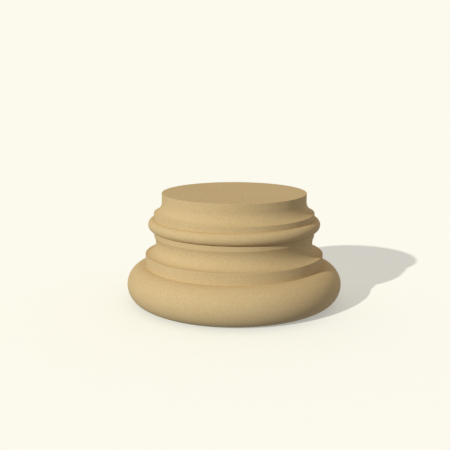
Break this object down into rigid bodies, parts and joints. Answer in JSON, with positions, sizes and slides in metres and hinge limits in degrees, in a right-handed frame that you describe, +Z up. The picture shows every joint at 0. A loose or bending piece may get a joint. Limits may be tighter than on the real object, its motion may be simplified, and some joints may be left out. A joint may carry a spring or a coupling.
{
  "type": "column base",
  "caption": "Round stone column base of the Attic kind: large lower torus, tall fillet, scotia, small upper torus, cincture and curved apophyge under the foot of the shaft.",
  "frame": {"origin": "centre of the lower bed, on the floor", "axes": "+Z up along the column's axis"},
  "size_m": [0.747, 0.747, 0.3835],
  "materials": {
    "stone": "fine-grained tan sandstone, rubbed smooth and matt"
  },
  "bodies": {
    "root": {"column_base": "stone"}
  },
  "joints": []
}
